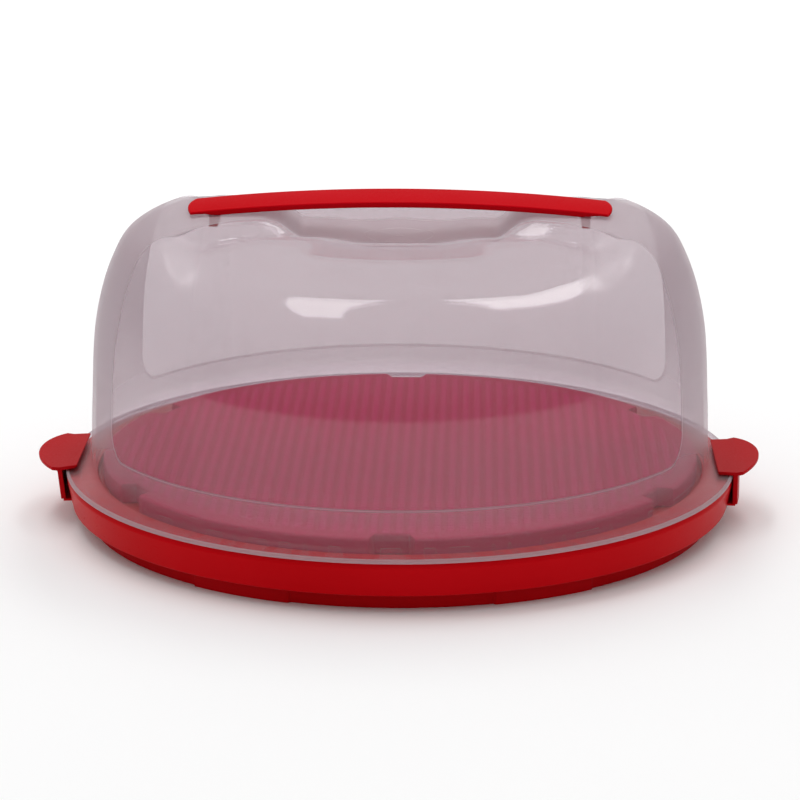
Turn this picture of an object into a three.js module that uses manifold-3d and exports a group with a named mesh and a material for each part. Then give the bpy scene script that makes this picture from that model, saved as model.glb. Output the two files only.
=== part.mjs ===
// Round cake carrier: a red base tray with two hinged closing clips, a lift-out serving insert, and a
// translucent hood with a snap-on strap handle. Millimetres, +Z up, origin on the table under the middle.
// The front is -Y and the clips are on the X axis.

import * as THREE from "three";
import { mergeVertices } from "three/addons/utils/BufferGeometryUtils.js";
import Module from "manifold-3d";

const wasm = await Module();
wasm.setup();

// ---------------------------------------------------------------- driving dimensions

const GAP = 0.3; // clearance between separate pieces that touch
const AROUND = 72; // facets round the circle
const DOME_STEPS = 22; // rings from the flange's fillet to the middle of the roof

const WALL = 1.8; // hood wall
const LIP_R = 166.5; // outer edge of the hood's flange and of the base's rim
const SEAT_Z = 24.4; // top of the base's rim, which the flange rests on
const FLANGE_T = 2.0;
const FLANGE_Z = SEAT_Z + GAP; // underside of the flange
const FLANGE_TOP = FLANGE_Z + FLANGE_T;
const HOOD_R = 153.4; // outside of the hood's wall, just above the flange
const FILLET_R = 5; // between the wall and the flange
const CROWN_Z = 153.4; // top of the dome, before its roof is lowered

// The roof: two shoulders on the X axis carry the handle, and everything between them is lower.
const ROOF_DROP = 8.3; // depth of the channel between the shoulders
const ROOF_FALL = 3.8; // how much more the roof falls toward the front and the back
const FALL_R = [75, 110]; // distances from the middle over which it falls
const SHOULDER_FADE = [32, 61]; // degrees from the X axis over which each shoulder runs out
const CHANNEL_X = [46, 67.5]; // foot and top of the channel's side walls, under the handle
const FLARE = 46; // how much wider the channel is, on each side, where it opens
const FLARE_Y = [28, 46.5]; // distance in front of and behind the handle over which it opens
const BOWL = 0.37; // share of the channel's depth that rounds its floor
const DISH_DEPTH = 5.3; // finger room under the handle, below the channel's floor
const DISH_X = [46, 58.7];
const DISH_Y = [12.5, 43];
const WALL_FADE_Z = [60, 130]; // heights on the wall over which the lowering sets in

const FOOT_R = 155; // foot ring
const FOOT_WALL = 3;
const PAD_OUT = 1.5; // how far the foot's pads stand out of the ring
const RIM_BOTTOM_Z = 8.5;
const RIM_BOTTOM_R = 163.6;
const SKIRT = 2.4; // thickness of the rim's skirt
const TRAY_R = 150.6; // recess that holds the insert
const TRAY_Z = 21;
const TRAY_T = 2.4; // thickness of the base's floor

const INSERT_R = 148;
const INSERT_TOP = 31;
const INSERT_T = 2.2; // plate and skirt of the insert
const NOTCHES = 6; // lifting notches round the insert
const NOTCH_W = 22;
const NOTCH_DEPTH = 7.5;

const HANDLE_L = 208;
const HANDLE_W = 34;
const HANDLE_TOP = 160.6;
const HANDLE_DROOP = 5.6; // how much lower the ends are than the middle
const HANDLE_T = 3.2; // in the middle
const HANDLE_END_T = 1.8;
const LUG_X = 91; // the two lugs that snap into the hood
const LUG = { x: 4, y: 20, barb: 1.4, barbHeight: 2.4 };

const CLIP_HALF_ANGLE = 10.4; // degrees of the rim that each clip covers, each side of its middle
const CLIP_T = 2.4; // the upright strip
const PLATE_T = 1.7; // the hook that lies on the flange
const HOOK_X = 157; // inner edge of the hook
const TONGUE_R = 179; // tip of the finger tongue
const TONGUE_RISE = 2.4;
const HINGE_Z = 12.1; // top of the hinge ledge
const HINGE_LEDGE = { top: HINGE_Z, thick: 1.0, r: 168.2, halfAngle: 9.8 };
const HINGE_X = 168.4; // axis of both clip hinges, along Y, just above the ledge
const LEFT_TILT = 6; // degrees that the left clip stands off its closed position

// ---------------------------------------------------------------- helpers

const rad = THREE.MathUtils.degToRad;

function material(color, roughness, opacity = 1) {
  return new THREE.MeshStandardMaterial({ color, roughness, opacity, metalness: 0, transparent: opacity < 1 });
}

// A closed manifold solid from any closed geometry.
function toSolid(geometry) {
  const bare = geometry.clone();
  bare.deleteAttribute("normal");
  bare.deleteAttribute("uv");
  const merged = mergeVertices(bare, 1e-4);
  const triVerts = new Uint32Array(merged.index.array);
  const vertProperties = new Float32Array(merged.attributes.position.array);
  return new wasm.Manifold(new wasm.Mesh({ numProp: 3, vertProperties, triVerts }));
}

function fromSolid(solid) {
  const mesh = solid.getMesh();
  const geometry = new THREE.BufferGeometry();
  geometry.setAttribute("position", new THREE.BufferAttribute(new Float32Array(mesh.vertProperties), 3));
  geometry.setIndex(new THREE.BufferAttribute(new Uint32Array(mesh.triVerts), 1));
  geometry.computeVertexNormals();
  return geometry;
}

// A surface of quads between rows of points. Rows and points in a row may close on themselves. A row with
// one point is a tip. Points run so that the faces look outward.
function gridSurface(rows, { closeRows = false, closePoints = false } = {}) {
  const positions = [];
  const starts = [];
  for (const row of rows) {
    starts.push(positions.length / 3);
    for (const p of row) positions.push(p.x, p.y, p.z);
  }
  const index = [];
  const strips = closeRows ? rows.length : rows.length - 1;
  for (let i = 0; i < strips; i++) {
    const j = (i + 1) % rows.length;
    const n = Math.max(rows[i].length, rows[j].length);
    const at = (r, k) => starts[r] + (rows[r].length === 1 ? 0 : k % rows[r].length);
    for (let k = 0; k < (closePoints ? n : n - 1); k++) {
      const [a, b, c, d] = [at(i, k), at(i, k + 1), at(j, k + 1), at(j, k)];
      if (a !== b) index.push(a, b, c);
      if (c !== d) index.push(a, c, d);
    }
  }
  return { positions, index, starts };
}

function toGeometry({ positions, index }) {
  const geometry = new THREE.BufferGeometry();
  geometry.setAttribute("position", new THREE.BufferAttribute(new Float32Array(positions), 3));
  geometry.setIndex(index);
  geometry.computeVertexNormals();
  return geometry;
}

// A lathe about +Z from points (radius, height). LatheGeometry turns about +Y.
function lathe(points, segments = AROUND) {
  const profile = points.map(([r, z]) => new THREE.Vector2(r, z));
  return new THREE.LatheGeometry(profile, segments).rotateX(Math.PI / 2);
}

// A box between two corners.
function box(low, high) {
  const size = high.map((v, i) => v - low[i]);
  const middle = high.map((v, i) => (v + low[i]) / 2);
  return new THREE.BoxGeometry(...size).translate(...middle);
}

function smoothstep(a, b, x) {
  const t = Math.min(Math.max((x - a) / (b - a), 0), 1);
  return t * t * (3 - 2 * t);
}

// ---------------------------------------------------------------- hood

// Outside of the hood before its roof is lowered: a nearly upright wall that rounds over into a low crown.
const shoulder = new THREE.SplineCurve(
  [
    [HOOD_R, FLANGE_TOP + FILLET_R + 4],
    [152.6, 60],
    [149.9, 100],
    [141.5, 130],
    [129.1, 146],
    [100, 152.1],
    [60, CROWN_Z - 0.3],
    [0, CROWN_Z],
  ].map(([r, z]) => new THREE.Vector2(r, z)),
);

// How far the dome is lowered at a point: the channel between the shoulders, which opens toward the front
// and the back, the roof's fall that way, and the dish under the handle.
function lowering(x, y, z) {
  const off = Math.abs(x);
  const turned = THREE.MathUtils.radToDeg(Math.atan2(Math.abs(y), off));
  const shoulderLeft = 1 - smoothstep(...SHOULDER_FADE, turned);
  const inFlare = off - FLARE * smoothstep(...FLARE_Y, Math.abs(y));
  const walls = 1 - smoothstep(...CHANNEL_X, inFlare);
  const bowl = 1 - smoothstep(0, CHANNEL_X[0], off);
  const channel = (1 - BOWL) * walls + BOWL * bowl;
  const depth = ROOF_DROP + ROOF_FALL * smoothstep(...FALL_R, Math.hypot(x, y));
  const dish = DISH_DEPTH * (1 - smoothstep(...DISH_X, off)) * (1 - smoothstep(...DISH_Y, Math.abs(y)));
  return (depth * (1 - shoulderLeft * (1 - channel)) + dish) * smoothstep(...WALL_FADE_Z, z);
}

function hoodRing(r, z) {
  if (r < 0.01) return [new THREE.Vector3(0, 0, z - lowering(0, 0, z))];
  const ring = [];
  for (let i = 0; i < AROUND; i++) {
    const a = (2 * Math.PI * i) / AROUND;
    const [x, y] = [r * Math.cos(a), r * Math.sin(a)];
    ring.push(new THREE.Vector3(x, y, z - lowering(x, y, z)));
  }
  return ring;
}

// Profile of the hood's outside from the flange's edge up to the middle of the crown.
function outerProfile() {
  const points = [
    [LIP_R, FLANGE_Z],
    [LIP_R, FLANGE_TOP - 0.5],
    [LIP_R - 0.5, FLANGE_TOP],
  ];
  for (let i = 0; i <= 3; i++) {
    const a = rad(90 * (i / 3));
    points.push([HOOD_R + FILLET_R * (1 - Math.sin(a)), FLANGE_TOP + FILLET_R * (1 - Math.cos(a))]);
  }
  for (let i = 0; i <= DOME_STEPS; i++) {
    const p = shoulder.getPointAt(i / DOME_STEPS);
    points.push([p.x, p.y]);
  }
  return points;
}

// The same profile moved inward by the wall, from the middle of the crown down to the flange's underside.
function innerProfile() {
  const points = [];
  for (let i = DOME_STEPS; i >= 0; i--) {
    const p = shoulder.getPointAt(i / DOME_STEPS);
    const t = shoulder.getTangentAt(i / DOME_STEPS);
    points.push([i === DOME_STEPS ? 0 : Math.max(p.x - WALL * t.y, 1), p.y + WALL * t.x]);
  }
  points.push([HOOD_R - WALL, FLANGE_Z]);
  return points;
}

function hoodGeometry() {
  const rings = [...outerProfile(), ...innerProfile()].map(([r, z]) => hoodRing(r, z));
  const shell = gridSurface(rings, { closeRows: true, closePoints: true });
  let solid = toSolid(toGeometry(shell));
  for (const side of [-1, 1]) {
    const half = [LUG.x / 2 + GAP, LUG.y / 2 + GAP];
    const slot = box([side * LUG_X - half[0], -half[1], 140], [side * LUG_X + half[0], half[1], 156]);
    solid = solid.subtract(toSolid(slot));
  }
  return fromSolid(solid);
}

// ---------------------------------------------------------------- handle

function handleTop(x) {
  return HANDLE_TOP - HANDLE_DROOP * (x / (HANDLE_L / 2)) ** 2;
}

function handleThickness(x) {
  const nearEnd = smoothstep(HANDLE_L / 2 - 14, HANDLE_L / 2 - 5, Math.abs(x));
  return HANDLE_T + (HANDLE_END_T - HANDLE_T) * nearEnd;
}

// A strap whose ends bow outward a little, with chamfered long edges. Each row is one cross-section.
function strapGeometry() {
  const bow = 2.4;
  const chamfer = 0.8;
  const steps = 26;
  const rows = [];
  for (let i = 0; i <= steps; i++) {
    const u = 1 - (2 * i) / steps;
    const row = [];
    const section = (x) => {
      const top = handleTop(x);
      const t = handleThickness(x);
      return [
        [0, top],
        [1, top - 0.4],
        [1, top - 0.4 - chamfer, chamfer],
        [1, top - t, chamfer],
        [0, top - t],
        [-1, top - t, chamfer],
        [-1, top - 0.4 - chamfer, chamfer],
        [-1, top - 0.4],
      ];
    };
    for (let k = 0; k < 8; k++) {
      const side = [0, 1, 1, 1, 0, -1, -1, -1][k];
      const x = u * (HANDLE_L / 2 - bow * side * side);
      const [, z, out = 0] = section(x)[k];
      row.push(new THREE.Vector3(x, side * (HANDLE_W / 2 - chamfer + out), z));
    }
    rows.push(row);
  }
  const flat = (p) => new THREE.Vector2(p.y, p.z);
  return toGeometry(capEnds(gridSurface(rows, { closePoints: true }), rows, flat));
}

// Closes the two ends of a tube of rows. flat gives a point's place in the plane of its row.
function capEnds(surface, rows, flat) {
  const { index, starts } = surface;
  const area = (a, b, c) => (b.x - a.x) * (c.y - a.y) - (b.y - a.y) * (c.x - a.x);
  for (const end of [0, rows.length - 1]) {
    const outline = rows[end].map(flat);
    const turn = THREE.ShapeUtils.area(outline) * (end === 0 ? -1 : 1);
    for (const [a, b, c] of THREE.ShapeUtils.triangulateShape(outline, [])) {
      const same = area(outline[a], outline[b], outline[c]) * turn > 0;
      const corners = same ? [a, b, c] : [a, c, b];
      index.push(...corners.map((k) => starts[end] + k));
    }
  }
  return surface;
}

// A lug goes down through the hood's slot and carries a barb that catches under the wall.
function lugSolid(side) {
  const top = handleTop(LUG_X) - HANDLE_T / 2;
  const low = 146.2;
  const stem = box([side * LUG_X - LUG.x / 2, -LUG.y / 2, low], [side * LUG_X + LUG.x / 2, LUG.y / 2, top]);
  const barbShape = new THREE.Shape([
    new THREE.Vector2(0, 0),
    new THREE.Vector2(LUG.x / 2 + LUG.barb, LUG.barbHeight),
    new THREE.Vector2(0, LUG.barbHeight),
  ]);
  const barb = new THREE.ExtrudeGeometry(barbShape, { depth: LUG.y, bevelEnabled: false });
  barb.rotateX(Math.PI / 2).translate(0, LUG.y / 2, low);
  if (side > 0) barb.rotateZ(Math.PI);
  barb.translate(side * LUG_X, 0, 0);
  return toSolid(stem).add(toSolid(barb));
}

function handleGeometry() {
  let solid = toSolid(strapGeometry());
  for (const side of [-1, 1]) solid = solid.add(lugSolid(side));
  return fromSolid(solid);
}

// ---------------------------------------------------------------- base tray

// A short ring segment about +Z, centred on the angle given in degrees.
function ringSegment(rIn, rOut, low, high, middle, halfAngle) {
  const shape = new THREE.Shape();
  shape.absarc(0, 0, rOut, rad(middle - halfAngle), rad(middle + halfAngle), false);
  shape.absarc(0, 0, rIn, rad(middle + halfAngle), rad(middle - halfAngle), true);
  const geometry = new THREE.ExtrudeGeometry(shape, {
    depth: high - low,
    bevelEnabled: false,
    curveSegments: 8,
  });
  return geometry.translate(0, 0, low);
}

function baseGeometry() {
  const under = SEAT_Z - SKIRT; // underside of the seat, between the skirt and the foot ring
  const profile = [
    [0, TRAY_Z - TRAY_T],
    [FOOT_R - FOOT_WALL, TRAY_Z - TRAY_T],
    [FOOT_R - FOOT_WALL, 0],
    [FOOT_R, 0],
    [FOOT_R, under],
    [RIM_BOTTOM_R - SKIRT, under],
    [RIM_BOTTOM_R - SKIRT, RIM_BOTTOM_Z],
    [RIM_BOTTOM_R, RIM_BOTTOM_Z],
    [LIP_R - 0.2, SEAT_Z - 2],
    [LIP_R - 1.2, SEAT_Z],
    [TRAY_R, SEAT_Z],
    [TRAY_R, TRAY_Z],
    [0, TRAY_Z],
  ];
  let solid = toSolid(lathe(profile));
  const padMiddles = [0, 63, 117, 180, 243, 297]; // degrees from +X
  for (const middle of padMiddles) {
    const pad = ringSegment(FOOT_R - 1.5, FOOT_R + PAD_OUT, 0, RIM_BOTTOM_Z, middle, 9.4);
    solid = solid.add(toSolid(pad));
  }
  for (const middle of [0, 180]) {
    const { top, thick, r, halfAngle } = HINGE_LEDGE;
    const ledge = ringSegment(RIM_BOTTOM_R - 1, r, top - thick, top, middle, halfAngle);
    solid = solid.add(toSolid(ledge));
  }
  return fromSolid(solid);
}

// ---------------------------------------------------------------- serving insert

// Plan outline of the insert: a circle with a lifting notch every 60 degrees, the first at the front.
function insertShape(radius, extra) {
  const points = [];
  const half = Math.asin((NOTCH_W / 2 + extra) / radius);
  const pitch = (2 * Math.PI) / NOTCHES;
  const arcSteps = 10;
  for (let n = 0; n < NOTCHES; n++) {
    const middle = -Math.PI / 2 + n * pitch;
    const bottom = radius - NOTCH_DEPTH;
    for (const a of [-half * 0.82, half * 0.82]) {
      points.push(new THREE.Vector2(bottom * Math.cos(middle + a), bottom * Math.sin(middle + a)));
    }
    for (let i = 0; i <= arcSteps; i++) {
      const a = middle + half + ((pitch - 2 * half) * i) / arcSteps;
      points.push(new THREE.Vector2(radius * Math.cos(a), radius * Math.sin(a)));
    }
  }
  return new THREE.Shape(points);
}

// A shallow upturned pan: a flat plate with a skirt that rests in the base's recess.
function insertGeometry() {
  const low = TRAY_Z + GAP;
  const plate = new THREE.ExtrudeGeometry(insertShape(INSERT_R, 0), {
    depth: INSERT_TOP - low,
    bevelEnabled: false,
  });
  const hollow = new THREE.ExtrudeGeometry(insertShape(INSERT_R - INSERT_T, INSERT_T), {
    depth: INSERT_TOP - INSERT_T - low + 1,
    bevelEnabled: false,
  });
  plate.translate(0, 0, low);
  hollow.translate(0, 0, low - 1);
  return fromSolid(toSolid(plate).subtract(toSolid(hollow)));
}

// ---------------------------------------------------------------- clips

// How far the tongue reaches outward at a given Y: a circular arc between the clip's two ends.
function tongueX(y) {
  const root = LIP_R + 2.6;
  const halfChord = LIP_R * Math.sin(rad(CLIP_HALF_ANGLE));
  const sag = TONGUE_R - root;
  const arcR = (halfChord ** 2 + sag ** 2) / (2 * sag);
  return root - (arcR - sag) + Math.sqrt(arcR ** 2 - Math.min(Math.abs(y), halfChord) ** 2);
}

// Right-hand clip, closed. Each row is one upright section, turned about the carrier's axis so that the
// strip follows the rim.
function clipGeometry() {
  const strip = [LIP_R + 0.5, LIP_R + 0.5 + CLIP_T];
  const bottom = HINGE_Z + GAP;
  const hookZ = FLANGE_TOP + GAP;
  const steps = 16;
  const rows = [];
  for (let i = 0; i <= steps; i++) {
    const a = rad(CLIP_HALF_ANGLE * (1 - (2 * i) / steps));
    const y = LIP_R * Math.sin(a);
    const reach = Math.max(tongueX(y) / Math.cos(a), strip[1] + 0.3);
    const rise = (TONGUE_RISE * (reach - strip[1])) / (TONGUE_R - strip[1]);
    const hook = HOOK_X / Math.cos(a);
    const section = [
      [strip[0], bottom],
      [strip[1], bottom],
      [strip[1], hookZ],
      [reach, hookZ + rise],
      [reach, hookZ + PLATE_T + rise],
      [strip[1] - 1, hookZ + PLATE_T],
      [hook, hookZ + PLATE_T],
      [hook, hookZ + 0.9],
      [hook + 1.2, hookZ],
      [strip[0], hookZ],
    ];
    rows.push(section.map(([r, z]) => new THREE.Vector3(r * Math.cos(a), r * Math.sin(a), z)));
  }
  const flat = (p) => new THREE.Vector2(Math.hypot(p.x, p.y), p.z);
  return toGeometry(capEnds(gridSurface(rows, { closePoints: true }), rows, flat));
}

// The clip turned about its hinge by an opening angle in degrees.
function openedClip(angle) {
  const clip = clipGeometry().translate(-HINGE_X, 0, -HINGE_Z);
  return clip.rotateY(rad(angle)).translate(HINGE_X, 0, HINGE_Z);
}

// ---------------------------------------------------------------- assembly

const RED = 0xc01420;

const pieces = {
  base_tray: new THREE.Mesh(baseGeometry(), material(RED, 0.4)),
  serving_insert: new THREE.Mesh(insertGeometry(), material(RED, 0.5)),
  hood: new THREE.Mesh(hoodGeometry(), material(0xe4dfe3, 0.35, 0.4)),
  handle: new THREE.Mesh(handleGeometry(), material(RED, 0.35)),
  clip_right: new THREE.Mesh(openedClip(0), material(RED, 0.4)),
  clip_left: new THREE.Mesh(openedClip(LEFT_TILT), material(RED, 0.4)),
};

const carrier = new THREE.Group();
for (const [name, mesh] of Object.entries(pieces)) {
  mesh.name = name;
  carrier.add(mesh);
}
pieces.clip_left.rotation.z = Math.PI;

export default carrier;
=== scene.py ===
"""Looks of the round cake carrier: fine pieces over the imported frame, plastics, lights and camera."""

import math

import bmesh
import bpy
import numpy as np
from mathutils import Matrix, Vector


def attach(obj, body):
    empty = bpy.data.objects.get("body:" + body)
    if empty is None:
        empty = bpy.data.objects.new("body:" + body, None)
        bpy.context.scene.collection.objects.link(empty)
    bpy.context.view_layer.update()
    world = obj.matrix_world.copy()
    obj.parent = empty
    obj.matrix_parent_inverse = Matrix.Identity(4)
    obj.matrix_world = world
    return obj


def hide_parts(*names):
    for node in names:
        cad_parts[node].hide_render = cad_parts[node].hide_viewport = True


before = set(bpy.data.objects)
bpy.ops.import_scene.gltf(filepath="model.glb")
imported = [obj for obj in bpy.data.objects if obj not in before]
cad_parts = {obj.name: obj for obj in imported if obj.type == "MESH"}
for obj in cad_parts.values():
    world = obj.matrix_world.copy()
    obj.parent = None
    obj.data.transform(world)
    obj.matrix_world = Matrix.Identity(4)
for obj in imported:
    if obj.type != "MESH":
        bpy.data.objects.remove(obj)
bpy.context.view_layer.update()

# ---------------------------------------------------------------- driving dimensions, in millimetres

MM = 0.001
GAP = 0.3  # clearance between separate pieces that touch
AROUND = 240  # facets round the circle
SHARP_FROM = 38  # degrees between faces from which an edge is drawn sharp

WALL = 1.8  # hood wall
LIP_R = 166.5  # outer edge of the hood's flange and of the base's rim
SEAT_Z = 24.4
FLANGE_Z = SEAT_Z + GAP
FLANGE_TOP = FLANGE_Z + 2.0
FILLET_R = 5
# Outside of the hood before its roof is lowered: (radius, height) from the wall's foot to the crown.
DOME = [
    (153.4, 35.7),
    (152.6, 60),
    (149.9, 100),
    (141.5, 130),
    (129.1, 146),
    (100, 152.1),
    (60, 153.1),
    (0, 153.4),
]

ROOF_DROP = 8.3  # depth of the channel between the shoulders
ROOF_FALL = 3.8  # how much more the roof falls toward the front and the back
FALL_R = (75, 110)
SHOULDER_FADE = (32, 61)  # degrees from the X axis over which each shoulder runs out
CHANNEL_X = (46, 67.5)  # foot and top of the channel's side walls, under the handle
FLARE = 46  # how much wider the channel is, on each side, where it opens
FLARE_Y = (28, 46.5)
BOWL = 0.37  # share of the channel's depth that rounds its floor
DISH_DEPTH = 5.3
DISH_X = (46, 58.7)
DISH_Y = (12.5, 43)
WALL_FADE_Z = (60, 130)

WINDOW_LOW_Z = 45.7  # lower edge of the clear windows in the frosted hood
# Upper edge of the windows on the roof, (x, y).
WINDOW_TOP_Y = (
    (0, 29),
    (20, 26),
    (35, 23.5),
    (48, 22.5),
    (60, 22.5),
    (70, 24.5),
    (80, 28.5),
    (94, 37),
    (108, 46),
)
WINDOW_SIDE_Y = 69.0  # their side edges, on the wall
WINDOW_SIDE_X = (108, 138)  # where the edge turns from the roof down the wall
WINDOW_CORNER = 16.0
INNER_DEPTH = 60.0  # window attribute of the hood's inner surface, which counts as clear everywhere
GATE_RING_R = 17  # ring that the moulding left on the roof

FOOT_R = 155
FOOT_WALL = 3
PAD_OUT = 1.5
RIM_BOTTOM_Z = 8.5
RIM_BOTTOM_R = 163.6
SKIRT = 2.4
TRAY_R = 150.6
TRAY_Z = 21
TRAY_T = 2.4
PADS = (0, 63, 117, 180, 243, 297)  # middles of the foot's pads, in degrees
PAD_HALF = 9.4

INSERT_R = 148
INSERT_TOP = 31
INSERT_T = 2.2
NOTCHES = 6
NOTCH_W = 22
NOTCH_DEPTH = 7.5
DASH_COLUMNS = 5.9  # pitch of the columns of dashes on the insert
DASH_PITCH = 4  # pitch of the dashes in a column

HANDLE_L = 208
HANDLE_W = 34
HANDLE_TOP = 160.6
HANDLE_DROOP = 5.6
HANDLE_T = 3.2
HANDLE_END_T = 1.8
LUG_X = 91
LUG = (4, 20)  # the lugs that snap into the hood, along X and Y
LUG_LOW_Z = 146.2
SLOT_Z = (140, 156)  # heights that the cutters of the hood's slots span

CLIP_HALF_ANGLE = 10.4
CLIP_T = 2.4
PLATE_T = 1.7
HOOK_X = 157
TONGUE_R = 179
TONGUE_RISE = 2.4
HINGE_Z = 12.1
HINGE_X = 168.4
LEDGE = (11.1, 12.1, 168.2, 9.8)  # hinge ledge: low, high, radius, half angle
LEFT_TILT = 6

# ---------------------------------------------------------------- helpers


def smoothstep(a, b, x):
    t = np.clip((np.asarray(x, float) - a) / (b - a), 0, 1)
    return t * t * (3 - 2 * t)


def rounded(corners):
    """An open outline whose corners (x, z, setback) are rounded, with points that keep the flats flat."""
    steps = 4
    points = []
    for i, (x, z, setback) in enumerate(corners):
        here = np.array((x, z), float)
        if setback == 0 or i in (0, len(corners) - 1):
            points.append(here)
            continue
        before = np.array(corners[i - 1][:2]) - here
        after = np.array(corners[i + 1][:2]) - here
        before = before / np.linalg.norm(before) * setback
        after = after / np.linalg.norm(after) * setback
        points.append(here + before * 1.2)
        for k in range(steps + 1):
            t = k / steps
            points.append(here + before * (1 - t) ** 2 + after * t**2)
        points.append(here + after * 1.2)
    return points


def rings_object(name, rings, attributes=None):
    """A smooth object from closed rings of points in mm. A ring of one point is a tip."""
    starts = np.cumsum([0] + [len(ring) for ring in rings])
    faces = []
    for i in range(len(rings) - 1):
        low, high = len(rings[i]), len(rings[i + 1])
        for k in range(max(low, high)):
            a, b = starts[i] + k % low, starts[i] + (k + 1) % low
            c, d = starts[i + 1] + (k + 1) % high, starts[i + 1] + k % high
            if low == 1 and high == 1:
                continue
            faces.append((a, c, d) if low == 1 else (a, b, c) if high == 1 else (a, b, c, d))
    mesh = bpy.data.meshes.new(name)
    mesh.from_pydata((np.vstack(rings) * MM).tolist(), [], faces)
    for key, values in (attributes or {}).items():
        layer = mesh.attributes.new(key, "FLOAT", "POINT")
        layer.data.foreach_set("value", np.concatenate(values).astype(np.float32))
    return finished(name, mesh)


def finished(name, mesh):
    """Links a mesh as an object with merged points, and faces that are smooth but for sharp edges."""
    work = bmesh.new()
    work.from_mesh(mesh)
    bmesh.ops.remove_doubles(work, verts=work.verts, dist=2e-6)
    work.to_mesh(mesh)
    work.free()
    mesh.shade_smooth()
    mesh.set_sharp_from_angle(angle=math.radians(SHARP_FROM))
    piece = bpy.data.objects.new(name, mesh)
    bpy.context.collection.objects.link(piece)
    return piece


def applied(piece):
    """Replaces a piece's mesh with its result after modifiers."""
    graph = bpy.context.evaluated_depsgraph_get()
    mesh = bpy.data.meshes.new_from_object(piece.evaluated_get(graph))
    piece.modifiers.clear()
    piece.data = mesh


def bevelled(piece, width, segments=3):
    bevel = piece.modifiers.new("edges", "BEVEL")
    bevel.width = width * MM
    bevel.segments = segments
    bevel.limit_method = "ANGLE"
    bevel.angle_limit = math.radians(40)
    bevel.harden_normals = True
    applied(piece)


def box_mesh(name, low, high):
    corners = [(x, y, z) for x in (low[0], high[0]) for y in (low[1], high[1]) for z in (low[2], high[2])]
    faces = [(0, 1, 3, 2), (4, 6, 7, 5), (0, 4, 5, 1), (2, 3, 7, 6), (0, 2, 6, 4), (1, 5, 7, 3)]
    mesh = bpy.data.meshes.new(name)
    mesh.from_pydata([[v * MM for v in c] for c in corners], [], faces)
    return mesh


def combined(piece, mesh, operation):
    """Cuts a closed mesh out of a piece, or joins it on."""
    other = bpy.data.objects.new("tool", mesh)
    bpy.context.collection.objects.link(other)
    change = piece.modifiers.new("cut", "BOOLEAN")
    change.object = other
    change.operation = operation
    change.solver = "EXACT"
    applied(piece)
    bpy.data.objects.remove(other)


def ring(r, z, angles):
    return np.stack([r * np.cos(angles), r * np.sin(angles), z + 0 * angles], axis=1)


def tip(z):
    return np.array([[0.0, 0.0, z]])


# ---------------------------------------------------------------- hood


def dome_curve(count):
    """Points and outward normals at even steps along the spline through DOME."""
    knots = np.array(DOME, float)
    last = len(knots) - 1
    dense = []
    for i in range(last):
        p0, p1, p2, p3 = (knots[min(max(i + k, 0), last)] for k in (-1, 0, 1, 2))
        v0, v1 = (p2 - p0) / 2, (p3 - p1) / 2
        for t in np.linspace(0, 1, 80, endpoint=False):
            cubic = (2 * p1 - 2 * p2 + v0 + v1) * t**3 + (3 * p2 - 3 * p1 - 2 * v0 - v1) * t**2
            dense.append(cubic + v0 * t + p1)
    dense = np.array(dense + [knots[-1]])
    run = np.concatenate([[0], np.cumsum(np.linalg.norm(np.diff(dense, axis=0), axis=1))])
    at = np.linspace(0, run[-1], count)
    points = np.stack([np.interp(at, run, dense[:, k]) for k in (0, 1)], axis=1)
    along = np.gradient(points, axis=0)
    along = along / np.linalg.norm(along, axis=1)[:, None]
    return points, np.stack([along[:, 1], -along[:, 0]], axis=1)


def lowering(x, y, z):
    """How far the dome is lowered: the channel, the fall to the front and back, and the handle's dish."""
    off = np.abs(x)
    turned = np.degrees(np.arctan2(np.abs(y), off))
    shoulder = 1 - smoothstep(*SHOULDER_FADE, turned)
    in_flare = off - FLARE * smoothstep(*FLARE_Y, np.abs(y))
    walls = 1 - smoothstep(*CHANNEL_X, in_flare)
    bowl = 1 - smoothstep(0, CHANNEL_X[0], off)
    channel = (1 - BOWL) * walls + BOWL * bowl
    depth = ROOF_DROP + ROOF_FALL * smoothstep(*FALL_R, np.hypot(x, y))
    dish = DISH_DEPTH * (1 - smoothstep(*DISH_X, off)) * (1 - smoothstep(*DISH_Y, np.abs(y)))
    return (depth * (1 - shoulder * (1 - channel)) + dish) * smoothstep(*WALL_FADE_Z, z)


def hood_ring(r, z, angles):
    points = tip(z) if r < 0.01 else ring(r, z, angles)
    points[:, 2] -= lowering(points[:, 0], points[:, 1], points[:, 2])
    return points


def window_depth(points):
    """Distance inside the edge of the clear window, in mm, negative on the frosted part."""
    x, y, z = np.abs(points[:, 0]), np.abs(points[:, 1]), points[:, 2]
    top = np.interp(x, *np.array(WINDOW_TOP_Y).T)
    edge = top + (WINDOW_SIDE_Y - top) * smoothstep(*WINDOW_SIDE_X, x)
    side, up = y - edge, z - WINDOW_LOW_Z
    short = np.hypot(np.clip(WINDOW_CORNER - side, 0, None), np.clip(WINDOW_CORNER - up, 0, None))
    at_corner = (side < WINDOW_CORNER) & (up < WINDOW_CORNER)
    return np.where(at_corner, WINDOW_CORNER - short, np.minimum(side, up))


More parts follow.
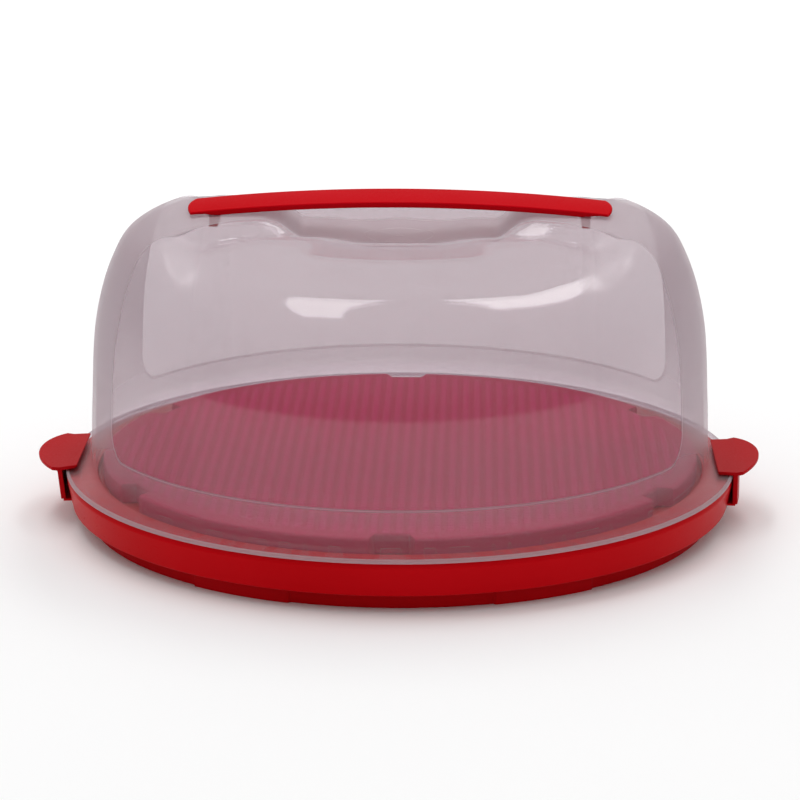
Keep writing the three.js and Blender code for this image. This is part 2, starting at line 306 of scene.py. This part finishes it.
def build_hood():
    angles = np.linspace(0, 2 * math.pi, AROUND, endpoint=False)
    foot_r, foot_z = DOME[0][0], FLANGE_TOP
    edge = rounded(
        [
            (foot_r - WALL, FLANGE_Z, 0),
            (LIP_R, FLANGE_Z, 0.6),
            (LIP_R, FLANGE_TOP, 0.7),
            (foot_r, foot_z, FILLET_R),
            (foot_r, DOME[0][1], 0),
        ]
    )[:-1]
    outer, _ = dome_curve(150)
    inner, normals = dome_curve(80)
    inner = inner - normals * WALL
    inner[:, 0] = np.clip(inner[:, 0], 1, None)
    inner[-1, 0] = 0
    outside = [hood_ring(r, z, angles) for r, z in [*edge, *outer]]
    inside = [hood_ring(r, z, angles) for r, z in [*inner[::-1], (foot_r - WALL, FLANGE_Z)]]
    depth = [window_depth(p) for p in outside] + [np.full(len(p), INNER_DEPTH) for p in inside]
    hood = rings_object("hood_shell", outside + inside, {"window": depth})
    for side in (-1, 1):
        half = [v / 2 + GAP for v in LUG]
        low = (side * LUG_X - half[0], -half[1], SLOT_Z[0])
        high = (side * LUG_X + half[0], half[1], SLOT_Z[1])
        combined(hood, box_mesh("slot", low, high), "DIFFERENCE")
    return hood


# ---------------------------------------------------------------- base and insert


def with_edges(middles, half, blend, count=AROUND):
    """Even angles round the circle, in radians, with extra ones at the edges of the parts at middles."""
    even = np.linspace(0, 360, count, endpoint=False)
    extra = [m + s * (half + d) for m in middles for s in (-1, 1) for d in np.linspace(-blend, blend, 5)]
    extra = np.array(extra) % 360
    near = np.abs((even[:, None] - extra[None, :] + 180) % 360 - 180).min(axis=1)
    return np.radians(np.sort(np.concatenate([even[near > 0.35], extra])))


def within(angles, middles, half, blend):
    """1 inside the given sectors and 0 outside them, with a short blend."""
    degrees = np.degrees(angles)
    away = np.abs((degrees[:, None] - np.array(middles)[None, :] + 180) % 360 - 180).min(axis=1)
    return 1 - smoothstep(half - blend, half + blend, away)


def skirt_radius(z):
    """Outer radius of the rim's skirt, which leans out a little toward its top."""
    return RIM_BOTTOM_R + (LIP_R - 0.2 - RIM_BOTTOM_R) * (z - RIM_BOTTOM_Z) / (SEAT_Z - 2 - RIM_BOTTOM_Z)


def build_base():
    blend = 0.3
    low, high, ledge_r, ledge_half = LEDGE
    at_pads = with_edges(PADS, PAD_HALF, blend)
    at_ledges = with_edges((0, 180), ledge_half, 0.1, 4)
    angles = np.unique(np.concatenate([at_pads, at_ledges]))
    pads = within(angles, PADS, PAD_HALF, blend)
    ledges = within(angles, (0, 180), ledge_half, 0.1)
    under = SEAT_Z - SKIRT
    inside = rounded(
        [
            (0, TRAY_Z - TRAY_T, 0),
            (FOOT_R - FOOT_WALL, TRAY_Z - TRAY_T, 1.2),
            (FOOT_R - FOOT_WALL, 0, 0.6),
            (FOOT_R, 0, 0.6),
            (FOOT_R, under, 1.2),
            (RIM_BOTTOM_R - SKIRT, under, 1.2),
            (RIM_BOTTOM_R - SKIRT, RIM_BOTTOM_Z, 0.6),
            (RIM_BOTTOM_R, RIM_BOTTOM_Z, 0.8),
            (skirt_radius(low), low, 0),
        ]
    )
    outside = rounded(
        [
            (skirt_radius(high), high, 0),
            (LIP_R - 0.2, SEAT_Z - 2, 0.5),
            (LIP_R - 1.2, SEAT_Z, 0.4),
            (TRAY_R, SEAT_Z, 0.6),
            (TRAY_R, TRAY_Z, 0.8),
            (0, TRAY_Z, 0),
        ]
    )
    rings = []
    for r, z in inside:
        on_foot = FOOT_R - 0.65 < r < FOOT_R + 1 and z < RIM_BOTTOM_Z + 4
        rings.append(tip(z) if r == 0 else ring(r + PAD_OUT * pads * on_foot, z, angles))
    for z in (low, high):
        wall = skirt_radius(z)
        rings.append(ring(wall + (ledge_r - wall) * ledges, z, angles))
    for r, z in outside:
        rings.append(tip(z) if r == 0 else ring(r, z, angles))
    return rings_object("base_shell", rings)


def insert_radius(angles):
    """Plan outline of the insert: a circle with even lifting notches, the first at the front."""
    pitch = 2 * math.pi / NOTCHES
    away = np.abs((angles + math.pi / 2 + pitch / 2) % pitch - pitch / 2)
    half = math.asin(NOTCH_W / 2 / INSERT_R)
    return INSERT_R - NOTCH_DEPTH * (1 - smoothstep(half * 0.72, half * 1.0, away))


def build_insert():
    low = TRAY_Z + GAP
    half = math.degrees(math.asin(NOTCH_W / 2 / INSERT_R))
    pitch = 360 / NOTCHES
    middles = [pitch / 2 + pitch * n for n in range(NOTCHES)]
    angles = with_edges(middles, half * 0.86, half * 0.2)
    plan = insert_radius(angles)
    border = 20
    outline = rounded(
        [
            (60, INSERT_TOP - INSERT_T, 0),
            (INSERT_T, INSERT_TOP - INSERT_T, 1.0),
            (INSERT_T, low, 0.4),
            (0, low, 0.4),
            (0, INSERT_TOP, 1.6),
            (border, INSERT_TOP, 0),
        ]
    )
    rings = [tip(INSERT_TOP - INSERT_T)]
    rings += [ring(plan - inset, z, angles) for inset, z in outline]
    rings += [ring((plan - border) * share, INSERT_TOP, angles) for share in (0.8, 0.6, 0.4, 0.2)]
    rings.append(tip(INSERT_TOP))
    return rings_object("insert_plate", rings)


# ---------------------------------------------------------------- handle and clips


def tube_object(name, rows):
    """An object from rows of points in mm, each row a closed section, with flat faces on both ends."""
    count = len(rows[0])
    faces = [tuple(reversed(range(count)))]
    for i in range(len(rows) - 1):
        for k in range(count):
            a, b = i * count + k, i * count + (k + 1) % count
            faces.append((a, b, b + count, a + count))
    faces.append(tuple(range((len(rows) - 1) * count, len(rows) * count)))
    mesh = bpy.data.meshes.new(name)
    mesh.from_pydata((np.vstack(rows) * MM).tolist(), [], faces)
    return finished(name, mesh)


def handle_top(x):
    return HANDLE_TOP - HANDLE_DROOP * (x / (HANDLE_L / 2)) ** 2


def build_handle():
    bow, crown = 2.4, 0.4
    across = np.linspace(-1, 1, 9)
    rows = []
    for u in np.linspace(1, -1, 61):
        top = handle_top(u * HANDLE_L / 2)
        end = smoothstep(HANDLE_L / 2 - 14, HANDLE_L / 2 - 5, abs(u) * HANDLE_L / 2)
        thick = HANDLE_T + (HANDLE_END_T - HANDLE_T) * end
        over = [(s, top - crown * s * s) for s in across]
        under = [(s, top - thick) for s in across[::-1]]
        section = [(u * (HANDLE_L / 2 - bow * s * s), s * HANDLE_W / 2, z) for s, z in over + under]
        rows.append(np.array(section))
    handle = tube_object("handle_strap", rows)
    bevelled(handle, 0.75, 4)
    for side in (-1, 1):
        low = (side * LUG_X - LUG[0] / 2, -LUG[1] / 2, LUG_LOW_Z)
        high = (side * LUG_X + LUG[0] / 2, LUG[1] / 2, float(handle_top(LUG_X)) - HANDLE_T / 2)
        combined(handle, box_mesh("lug", low, high), "UNION")
    return handle


def tongue_x(y):
    root = LIP_R + 2.6
    half_chord = LIP_R * math.sin(math.radians(CLIP_HALF_ANGLE))
    sag = TONGUE_R - root
    arc_r = (half_chord**2 + sag**2) / (2 * sag)
    return root - (arc_r - sag) + math.sqrt(arc_r**2 - min(abs(y), half_chord) ** 2)


def build_clip(name):
    """The right-hand clip, closed. Each row is one upright section, turned about the carrier's axis."""
    strip = (LIP_R + 0.5, LIP_R + 0.5 + CLIP_T)
    bottom, hook_z = HINGE_Z + GAP, FLANGE_TOP + GAP
    rows = []
    for u in np.linspace(1, -1, 41):
        a = math.radians(CLIP_HALF_ANGLE * u)
        reach = max(tongue_x(LIP_R * math.sin(a)) / math.cos(a), strip[1] + 0.3)
        rise = TONGUE_RISE * (reach - strip[1]) / (TONGUE_R - strip[1])
        hook = HOOK_X / math.cos(a)
        section = [
            (strip[0], bottom),
            (strip[1], bottom),
            (strip[1], hook_z),
            (reach, hook_z + rise),
            (reach, hook_z + PLATE_T + rise),
            (strip[1] - 1, hook_z + PLATE_T),
            (hook, hook_z + PLATE_T),
            (hook, hook_z + 0.9),
            (hook + 1.2, hook_z),
            (strip[0], hook_z),
        ]
        rows.append(np.array([(r * math.cos(a), r * math.sin(a), z) for r, z in section]))
    clip = tube_object(name, rows)
    bevelled(clip, 0.45)
    return clip


def tilt_left(clip):
    """Turns a right-hand clip about its hinge to the angle it rests at, and moves it to the left side."""
    pivot = Vector((HINGE_X * MM, 0, HINGE_Z * MM))
    tilt = Matrix.Rotation(math.radians(LEFT_TILT), 4, "Y")
    turn = Matrix.Translation(pivot) @ tilt @ Matrix.Translation(-pivot)
    clip.data.transform(Matrix.Rotation(math.pi, 4, "Z") @ turn)


# ---------------------------------------------------------------- materials

MILK = (0.59, 0.525, 0.565, 1)  # light scattered in the hood's plastic
WALL_TINT = (0.87, 0.84, 0.855, 1)  # light let through one surface of the wall
FLANGE_TINT = (0.97, 0.93, 0.96, 1)


class Nodes:
    """A short way to write the nodes of a material or a world."""

    def __init__(self, tree):
        self.tree = tree

    @classmethod
    def of_material(cls, name):
        material = bpy.data.materials.new(name)
        material.use_nodes = True
        material.node_tree.nodes.clear()
        nodes = cls(material.node_tree)
        nodes.material = material
        return nodes

    def add(self, kind, settings=None, **inputs):
        node = self.tree.nodes.new(kind)
        for key, value in (settings or {}).items():
            setattr(node, key, value)
        for key, value in inputs.items():
            self.put(node, key.replace("_", " "), value)
        return node

    def put(self, node, key, value):
        socket = node.inputs[int(key) if key.isdigit() else key]
        if isinstance(value, bpy.types.NodeSocket):
            self.tree.links.new(value, socket)
        else:
            socket.default_value = value

    def math(self, operation, a, b=0.0):
        node = self.add("ShaderNodeMath", {"operation": operation})
        self.put(node, "0", a)
        self.put(node, "1", b)
        return node.outputs[0]

    def ramp(self, value, low, high, to_low=0.0, to_high=1.0, smooth=False):
        node = self.add("ShaderNodeMapRange", {"interpolation_type": "SMOOTHSTEP" if smooth else "LINEAR"})
        names = ("Value", "From Min", "From Max", "To Min", "To Max")
        for key, v in zip(names, (value, low, high, to_low, to_high)):
            self.put(node, key, v)
        return node.outputs[0]

    def position(self):
        """The three coordinates of the shaded point on its object, in metres."""
        place = self.add("ShaderNodeTexCoord").outputs["Object"]
        return self.add("ShaderNodeSeparateXYZ", Vector=place).outputs

    def radius(self, x, y):
        return self.math("SQRT", self.math("ADD", self.math("MULTIPLY", x, x), self.math("MULTIPLY", y, y)))

    def noise(self, scale, detail=2.0):
        place = self.add("ShaderNodeTexCoord").outputs["Object"]
        return self.add("ShaderNodeTexNoise", Vector=place, Scale=scale, Detail=detail).outputs["Fac"]

    def bump(self, height, strength, distance, normal=None):
        node = self.add("ShaderNodeBump", Height=height, Strength=strength, Distance=distance)
        if normal is not None:
            self.put(node, "Normal", normal)
        return node.outputs[0]

    def blend(self, share, low, high):
        """A colour between two colours."""
        node = self.add("ShaderNodeMix", {"data_type": "RGBA"})
        for key, value in (("0", share), ("6", low), ("7", high)):
            self.put(node, key, value)
        return node.outputs[2]

    def mixed(self, share, low, high):
        """A shader between two shaders."""
        node = self.add("ShaderNodeMixShader")
        self.put(node, "0", share)
        self.put(node, "1", low)
        self.put(node, "2", high)
        return node.outputs[0]

    def finish(self, shader):
        self.add("ShaderNodeOutputMaterial", Surface=shader)
        return self.material


def red_plastic(name, dark, light, rough, shine):
    """Moulded coloured plastic with faint flow marks, a fine grain and small changes in gloss."""
    n = Nodes.of_material(name)
    colour = n.blend(n.ramp(n.noise(14, 3), 0.3, 0.7), (*dark, 1), (*light, 1))
    gloss = n.ramp(n.noise(900, 2), 0.3, 0.7, rough - 0.05, rough + 0.05)
    normal = n.bump(n.noise(1600, 2), 0.1, 0.00012)
    shader = n.add("ShaderNodeBsdfPrincipled", Base_Color=colour, Roughness=gloss, Normal=normal)
    shader.inputs["Specular IOR Level"].default_value = shine
    return n.finish(shader.outputs[0])


def insert_plastic():
    """The insert's plastic: columns of short moulded dashes inside a plain border."""
    n = Nodes.of_material("insert_plastic")
    x, y, z = n.position()
    column = n.ramp(n.math("PINGPONG", x, DASH_COLUMNS / 2 * MM), 0.0012, 0.0017, smooth=True)
    dash = n.ramp(n.math("PINGPONG", y, DASH_PITCH / 2 * MM), 0.0005, 0.0009, smooth=True)
    in_border = n.ramp(n.radius(x, y), 0.1385, 0.1392, 1, 0)
    on_top = n.ramp(z, 0.0305, 0.0309)
    marks = n.math("MULTIPLY", n.math("MULTIPLY", column, dash), n.math("MULTIPLY", in_border, on_top))
    colour = n.blend(marks, (0.57, 0.001, 0.075, 1), (0.74, 0.01, 0.14, 1))
    gloss = n.ramp(n.noise(900, 2), 0.3, 0.7, 0.42, 0.52)
    normal = n.bump(marks, 0.6, 0.0004, n.bump(n.noise(1500, 2), 0.15, 0.00012))
    shader = n.add("ShaderNodeBsdfPrincipled", Base_Color=colour, Roughness=gloss, Normal=normal)
    shader.inputs["Specular IOR Level"].default_value = 0.1
    return n.finish(shader.outputs[0])


def hood_plastic():
    """Translucent plastic: frosted, with clear recessed windows and a moulding ring on the roof."""
    n = Nodes.of_material("hood_plastic")
    x, y, z = n.position()
    radius = n.radius(x, y)
    depth = n.add("ShaderNodeAttribute", {"attribute_name": "window"}).outputs["Fac"]
    clear = n.ramp(depth, -0.4, 0.4, smooth=True)

    # Haze: less near the foot of the wall, little in the windows. Painted highlights: extra haze in thin
    # bright lines along the window's edge and round the lip, standing in for light caught by the ledge and
    # the lip's edge.
    frost = n.ramp(z, 0.03, 0.08, 0.10, 0.55)
    cloud = n.ramp(n.noise(9, 3), 0.3, 0.7, -0.015, 0.015)
    # Painted highlight: a bright milky line along the window's edge, standing in for light caught by the
    # step's ledge.
    painted_edge_highlight = n.ramp(n.math("ABSOLUTE", depth), 0.3, 0.9, 0.35, 0)
    # Painted highlight: a bright milky line round the lip's outer edge, standing in for light caught there.
    painted_lip_highlight = n.ramp(radius, 0.1648, 0.1656, 0, 0.55)
    haze_and_painted_highlights = n.math("ADD", n.ramp(clear, 0, 1, frost, 0.06), cloud)
    haze_and_painted_highlights = n.math("ADD", haze_and_painted_highlights, n.math("ADD", painted_edge_highlight, painted_lip_highlight))

    # Relief: a fine grain, the ring and its middle point on the roof, and the step down into the windows.
    on_top = n.ramp(z, 0.138, 0.139)
    off_ring = n.math("ABSOLUTE", n.math("SUBTRACT", radius, GATE_RING_R * MM))
    ring_mark = n.math("MULTIPLY", n.ramp(off_ring, 0, 0.0006, 1, 0), on_top)
    gate = n.math("MULTIPLY", n.ramp(radius, 0.0015, 0.0022, 1, 0), on_top)
    step = n.ramp(depth, -0.5, 0.5, 1, 0, smooth=True)
    normal = n.bump(n.noise(700, 2), n.ramp(clear, 0, 1, 0.12, 0.02), 0.0002)
    normal = n.bump(n.math("ADD", ring_mark, gate), 0.5, 0.0005, normal)
    normal = n.bump(step, 0.6, 0.0008, normal)

    lit = n.add("ShaderNodeBsdfDiffuse", Color=MILK, Normal=normal)
    backlit = n.add("ShaderNodeBsdfTranslucent", Color=MILK, Normal=normal)
    milk = n.mixed(0.5, lit.outputs[0], backlit.outputs[0])
    tint = n.blend(n.ramp(z, 0.028, 0.04), FLANGE_TINT, WALL_TINT)
    open_air = n.add("ShaderNodeBsdfTransparent", Color=tint)
    body = n.mixed(haze_and_painted_highlights, open_air.outputs[0], milk)

    # The windows are glossy in the middle and duller toward the shoulders.
    polish = n.ramp(n.math("ABSOLUTE", x), 0.084, 0.098, 0.07, 0.38)
    gloss = n.ramp(clear, 0, 1, 0.42, polish)
    shine = n.add("ShaderNodeBsdfGlossy", Color=(1, 1, 1, 1), Roughness=gloss, Normal=normal)
    facing = n.add("ShaderNodeLayerWeight", Blend=0.5, Normal=normal).outputs["Facing"]
    mirror = n.ramp(n.math("POWER", facing, 5.0), 0, 1, 0.034, 0.22)
    return n.finish(n.mixed(mirror, body, shine.outputs[0]))


def floor_paper():
    n = Nodes.of_material("floor_paper")
    tone = n.blend(n.ramp(n.noise(2, 3), 0.3, 0.7), (0.955, 0.955, 0.955, 1), (0.97, 0.97, 0.97, 1))
    shader = n.add("ShaderNodeBsdfPrincipled", Base_Color=tone, Roughness=0.8)
    return n.finish(shader.outputs[0])


# ---------------------------------------------------------------- assembly


def place(piece, body, node, slot, material):
    piece.data.materials.clear()
    piece.data.materials.append(material)
    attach(piece, body)
    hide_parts(node)


RED = red_plastic("base_plastic", (0.50, 0.001, 0.004), (0.55, 0.002, 0.006), 0.32, 0.03)
HANDLE_RED = red_plastic("handle_plastic", (0.52, 0.002, 0.006), (0.56, 0.003, 0.009), 0.36, 0.002)
CLIP_RED = red_plastic("clip_plastic", (0.42, 0.003, 0.006), (0.46, 0.004, 0.008), 0.34, 0.02)

place(build_base(), "root", "base_tray", "base_red", RED)
place(build_insert(), "insert", "serving_insert", "insert_red", insert_plastic())
place(build_hood(), "root", "hood", "hood_clear", hood_plastic())
place(build_handle(), "root", "handle", "handle_red", HANDLE_RED)
place(build_clip("clip_shell_right"), "clip_right", "clip_right", "clip_red", CLIP_RED)
left_clip = build_clip("clip_shell_left")
tilt_left(left_clip)
place(left_clip, "clip_left", "clip_left", "clip_red", CLIP_RED)

# ---------------------------------------------------------------- floor, lights and camera

floor_mesh = bpy.data.meshes.new("floor")
floor_mesh.from_pydata([(-4, -4, 0), (4, -4, 0), (4, 4, 0), (-4, 4, 0)], [], [(0, 1, 2, 3)])
floor_mesh.materials.append(floor_paper())
floor = bpy.data.objects.new("floor", floor_mesh)
bpy.context.collection.objects.link(floor)

world = bpy.data.worlds.new("studio")
world.use_nodes = True
sky = Nodes(world.node_tree)
backdrop = world.node_tree.nodes["Background"]
backdrop.inputs["Color"].default_value = (1, 1, 1, 1)
direction = sky.add("ShaderNodeSeparateXYZ", Vector=sky.add("ShaderNodeTexCoord").outputs["Generated"])
behind = sky.ramp(direction.outputs[1], -0.5, 0.5)
above = sky.ramp(direction.outputs[2], 0.1, 0.8)
high = sky.ramp(direction.outputs[2], 0.05, 0.45, 0.6, 1.0, smooth=True)
glow = sky.ramp(sky.math("MAXIMUM", behind, above), 0, 1, 0.34, 0.84)
sky.put(backdrop, "Strength", sky.math("MULTIPLY", glow, high))
bpy.context.scene.world = world


def soft_box(name, middle, turn, size, watts):
    """A rectangular light overhead that looks straight down, turned about Z by some degrees."""
    light = bpy.data.lights.new(name, "AREA")
    light.shape = "RECTANGLE"
    light.size, light.size_y = size
    light.energy = watts
    lamp = bpy.data.objects.new(name, light)
    lamp.location = middle
    lamp.rotation_euler = (0, 0, math.radians(turn))
    bpy.context.collection.objects.link(lamp)


soft_box("box_left", (-0.96, 1.6, 4.0), -10, (0.8, 4.5), 45)
soft_box("box_right", (1.14, 2.5, 4.0), 20, (0.95, 2.8), 42)

camera_data = bpy.data.cameras.new("camera")
camera_data.lens = 142.2
camera_data.sensor_width = 36
camera = bpy.data.objects.new("camera", camera_data)
camera.location = (0.0391, -1.5195, 0.4710)
look = Vector((0, 0, 0.0562)) - camera.location
camera.rotation_euler = look.to_track_quat("-Z", "Y").to_euler()
bpy.context.collection.objects.link(camera)
bpy.context.scene.camera = camera
bpy.context.scene.view_settings.view_transform = "Standard"
